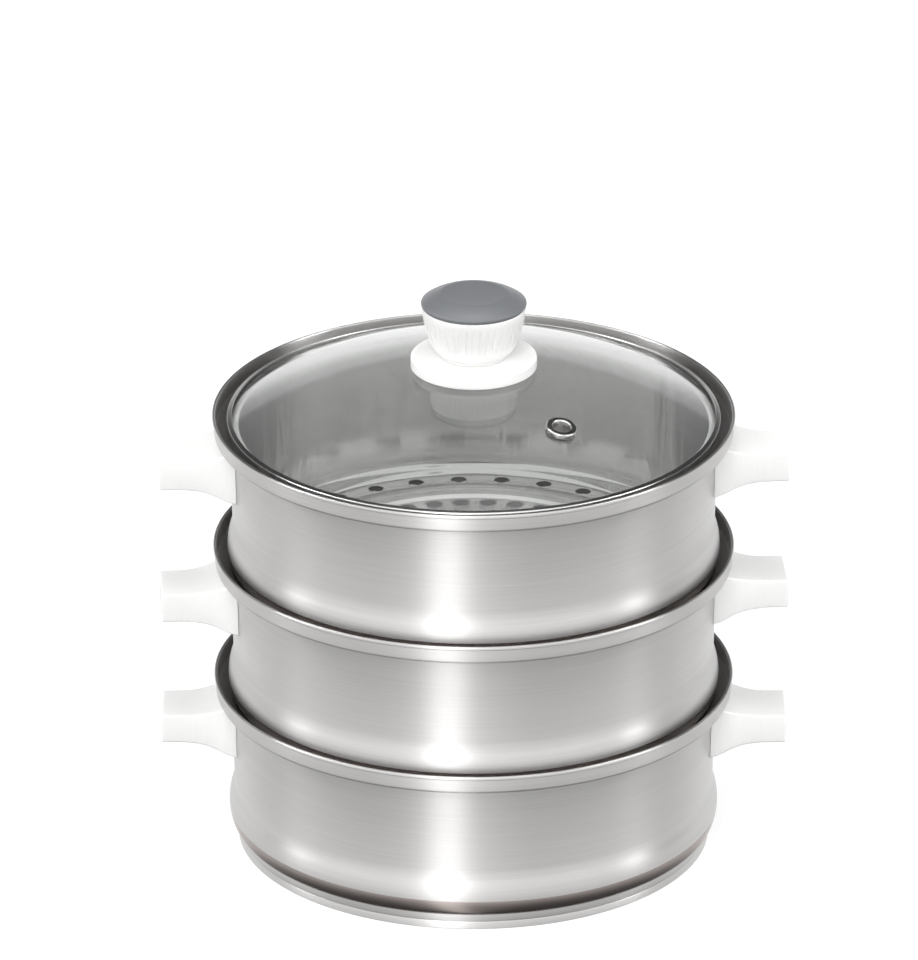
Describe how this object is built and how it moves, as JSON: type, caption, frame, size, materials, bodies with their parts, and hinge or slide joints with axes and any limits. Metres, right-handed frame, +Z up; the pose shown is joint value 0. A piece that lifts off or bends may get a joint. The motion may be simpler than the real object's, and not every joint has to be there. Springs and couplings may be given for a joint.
{
  "type": "food steamer",
  "caption": "Stacking steel food steamer: round tiers with plastic side grips, perforated floors and steam tubes, under a domed glass lid with a fluted knob.",
  "frame": {"origin": "centre of the lowest tier's bottom ring, on the surface it stands on", "axes": "+Z up, +X to the right along the lowest tier's grips, the user stands at -Y"},
  "size_m": [0.3142, 0.26, 0.2917],
  "materials": {
    "brushed_steel": "brushed round",
    "bright_steel": "bright polished",
    "screw_steel": "plain",
    "white_plastic": "satin",
    "grey_plastic": "satin",
    "clear_glass": "clear",
    "seal_rubber": "matte",
    "brass": "plain"
  },
  "bodies": {
    "lower_tier": {"lower_shell": "brushed_steel", "lower_floor": "bright_steel", "lower_steam_tube": "bright_steel", "lower_handle_right": "white_plastic", "lower_handle_left": "white_plastic", "lower_handle_screws": "screw_steel"},
    "middle_tier": {"middle_shell": "brushed_steel", "middle_floor": "bright_steel", "middle_steam_tube": "bright_steel", "middle_handle_right": "white_plastic", "middle_handle_left": "white_plastic", "middle_handle_screws": "screw_steel"},
    "upper_tier": {"upper_shell": "brushed_steel", "upper_floor": "bright_steel", "upper_handle_right": "white_plastic", "upper_handle_left": "white_plastic", "upper_handle_screws": "screw_steel"},
    "lid": {"lid_glass": "clear_glass", "lid_rim": "bright_steel", "vent_eyelet": "bright_steel", "vent_ring": "bright_steel", "knob_collar": "white_plastic", "knob_body": "white_plastic", "knob_cap": "grey_plastic", "knob_insert": "brass", "knob_screw": "screw_steel", "knob_washer": "screw_steel", "knob_seal": "seal_rubber"}
  },
  "joints": [
    {"name": "middle_tier_lift", "type": "slide", "parent": "lower_tier", "child": "middle_tier", "axis": [0, 0, 1], "range_m": [0, 0.0456]},
    {"name": "upper_tier_lift", "type": "slide", "parent": "middle_tier", "child": "upper_tier", "axis": [0, 0, 1], "range_m": [0, 0.0505]},
    {"name": "lid_lift", "type": "slide", "parent": "upper_tier", "child": "lid", "axis": [0, 0, 1], "range_m": [0, 0.042]}
  ]
}
